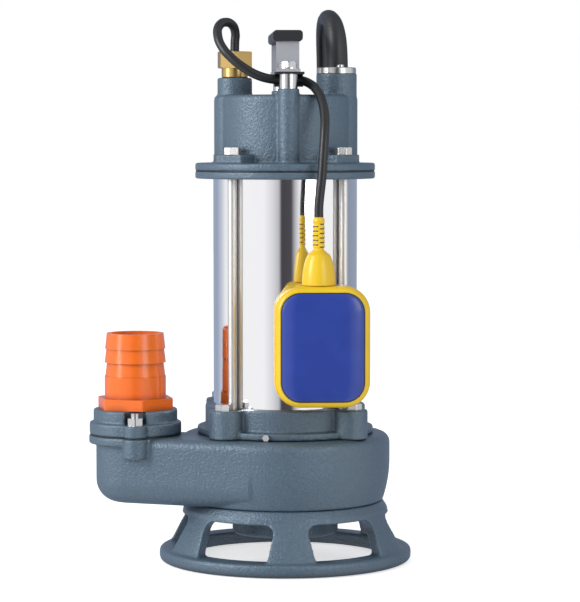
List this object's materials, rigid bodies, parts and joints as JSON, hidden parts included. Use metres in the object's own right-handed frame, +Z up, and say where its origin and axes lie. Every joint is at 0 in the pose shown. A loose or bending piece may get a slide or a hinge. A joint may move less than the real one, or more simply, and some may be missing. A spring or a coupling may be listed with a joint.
{
  "type": "submersible sump pump",
  "caption": "Submersible sump pump: cast volute on a legged stand, stainless motor shell, top handle, hinged float switch, barbed hose outlet and a coiled power cable with plug.",
  "frame": {"origin": "centre of the foot ring, on the floor; the shaft's axis passes through it", "axes": "+Z up along the shaft, towards the handle; the hose outlet is on the -X side and the float hangs on the -Y side"},
  "size_m": [0.286, 0.4866, 0.4887],
  "materials": {
    "casting": "semi-gloss metallic blue-grey paint over a sand casting",
    "stainless": "polished stainless tube",
    "fastener": "bright zinc plate",
    "strap": "galvanised strap",
    "iron": "silver paint over a sand casting",
    "lamination": "stacked electrical steel",
    "copper": "varnished copper winding",
    "brass": "machined",
    "rubber": "satin",
    "cable": "satin jacket",
    "orange_plastic": "moulded, satin gloss",
    "yellow_plastic": "moulded, satin gloss",
    "blue_plastic": "moulded, satin gloss",
    "white_plastic": "moulded",
    "ceramic": "lapped seal face"
  },
  "bodies": {
    "pump": {"base_stand": "casting", "base_bolts": "fastener", "suction_plate": "casting", "plate_screws": "fastener", "volute": "casting", "stator_core": "lamination", "stator_windings": "copper", "motor_shell": "stainless", "shell_o_rings": "rubber", "lower_bracket": "casting", "seal_plate": "iron", "seal_seat": "ceramic", "bearing_outer_rings": "fastener", "wave_washer": "fastener", "upper_bracket": "casting", "cover_gasket": "rubber", "top_cover": "casting", "tie_bolts": "fastener", "bracket_bolts": "fastener", "oil_plug": "fastener", "handle_strap": "strap", "handle_grip": "rubber", "handle_bolts": "fastener", "handle_washers": "fastener", "handle_sleeves": "fastener", "cable_clip": "rubber", "float_gland_body": "brass", "float_gland_nut": "brass", "power_boot": "rubber", "gland_plate": "fastener", "gland_screws": "fastener", "power_cable": "cable", "power_cable_coil": "cable", "power_plug": "cable", "capacitor": "white_plastic", "terminal_block": "white_plastic", "outlet_gasket": "rubber", "outlet_flange": "casting", "outlet_studs": "fastener", "outlet_nuts": "fastener", "hose_barb": "orange_plastic", "float_cable": "cable"},
    "rotor": {"shaft": "fastener", "rotor_core": "lamination", "impeller": "iron", "impeller_key": "fastener", "impeller_washer": "fastener", "impeller_nut": "fastener", "bearing_inner_rings": "fastener", "seal_ring": "rubber", "seal_spring": "fastener"},
    "ball_cages": {"bearing_balls": "fastener", "bearing_cages": "brass"},
    "float": {"float_frame": "yellow_plastic", "float_panels": "blue_plastic", "float_neck": "yellow_plastic", "float_track": "white_plastic", "float_switch": "white_plastic"},
    "float_ball": {"float_ball": "fastener"}
  },
  "joints": [
    {"name": "rotor_spin", "type": "hinge", "parent": "pump", "child": "rotor", "pos_m": [0, 0, 0.2], "axis": [0, 0, 1], "continuous": true},
    {"name": "cage_spin", "type": "hinge", "parent": "pump", "child": "ball_cages", "pos_m": [0, 0, 0.2], "axis": [0, 0, 1], "continuous": true},
    {"name": "float_swing", "type": "hinge", "parent": "pump", "child": "float", "pos_m": [0.024, -0.0895, 0.304], "axis": [-1, 0, 0], "range_deg": [0, 90]},
    {"name": "float_ball_roll", "type": "slide", "parent": "float", "child": "float_ball", "axis": [0, 0, 1], "range_m": [0, 0.024]}
  ],
  "couplings": [
    {"joint": "cage_spin", "follows": "rotor_spin", "ratio": 0.3836}
  ]
}
